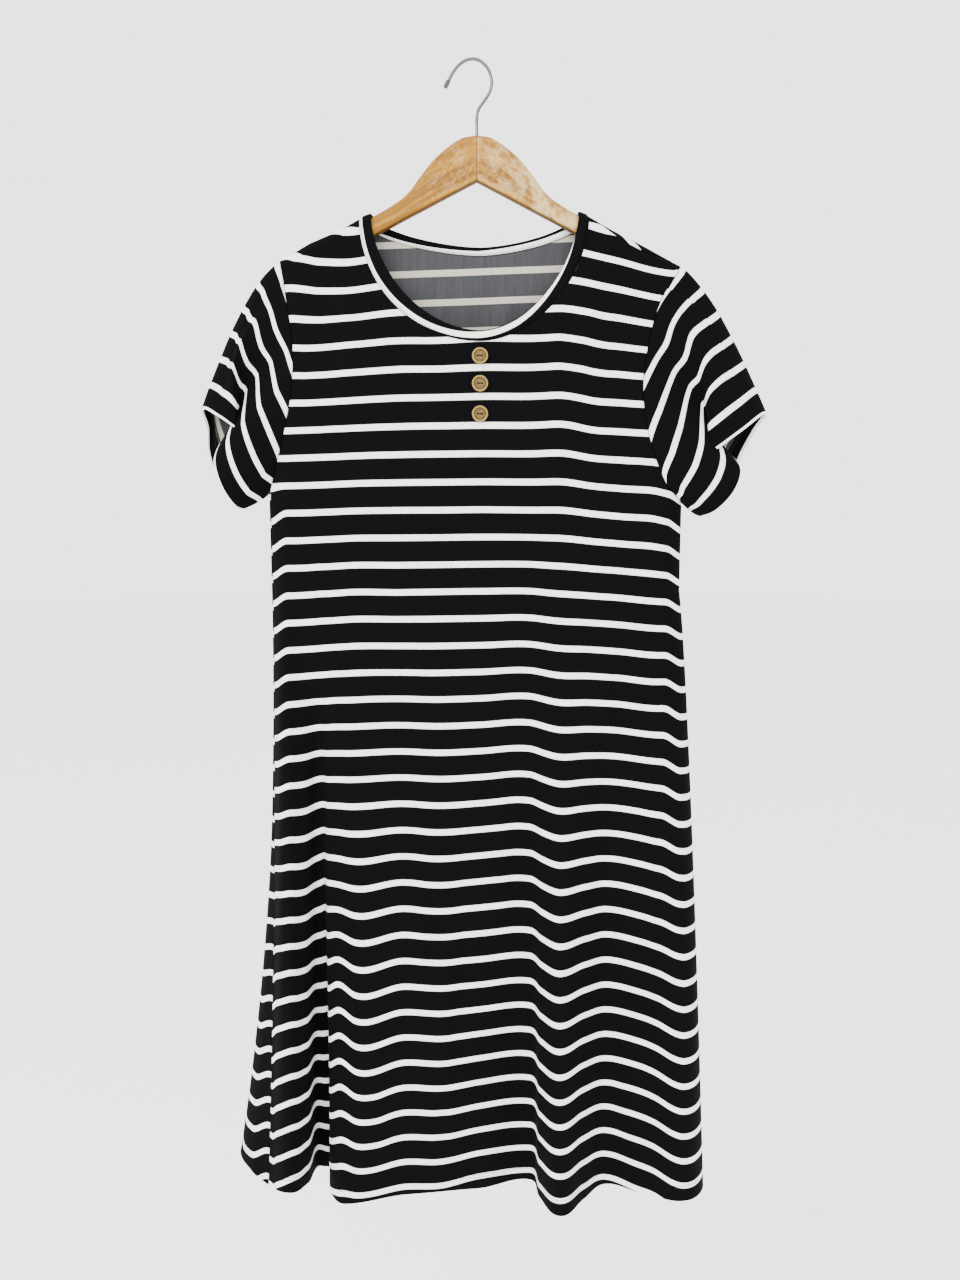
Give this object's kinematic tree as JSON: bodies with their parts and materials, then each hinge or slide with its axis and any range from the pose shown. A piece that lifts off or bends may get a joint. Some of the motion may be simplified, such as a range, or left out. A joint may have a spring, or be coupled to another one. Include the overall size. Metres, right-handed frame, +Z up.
{
  "type": "tunic dress on a hanger",
  "caption": "Striped jersey tunic dress with short sleeves, scoop neckband and front buttons, hung on a wooden hanger with a wire hook.",
  "frame": {"origin": "where a rail bears inside the hook, in the middle plane of the hanger", "axes": "+X to the right as seen from the front, +Y from the front of the dress to its back, +Z up"},
  "size_m": [0.5566, 0.1212, 1.1473],
  "materials": {
    "jersey": "thin striped cotton jersey",
    "band": "striped cotton jersey binding",
    "wood": "worn golden varnish",
    "wire": "bright plated wire",
    "tip": "matt dark cap",
    "button": "light carved wood"
  },
  "bodies": {
    "root": {"front_body": "jersey", "back_body": "jersey", "sleeve_left": "jersey", "sleeve_right": "jersey", "neckband": "band", "hanger_arm_left": "wood", "hanger_arm_right": "wood", "hook": "wire", "hook_tip": "tip", "button_1": "button", "button_2": "button", "button_3": "button"}
  },
  "joints": []
}
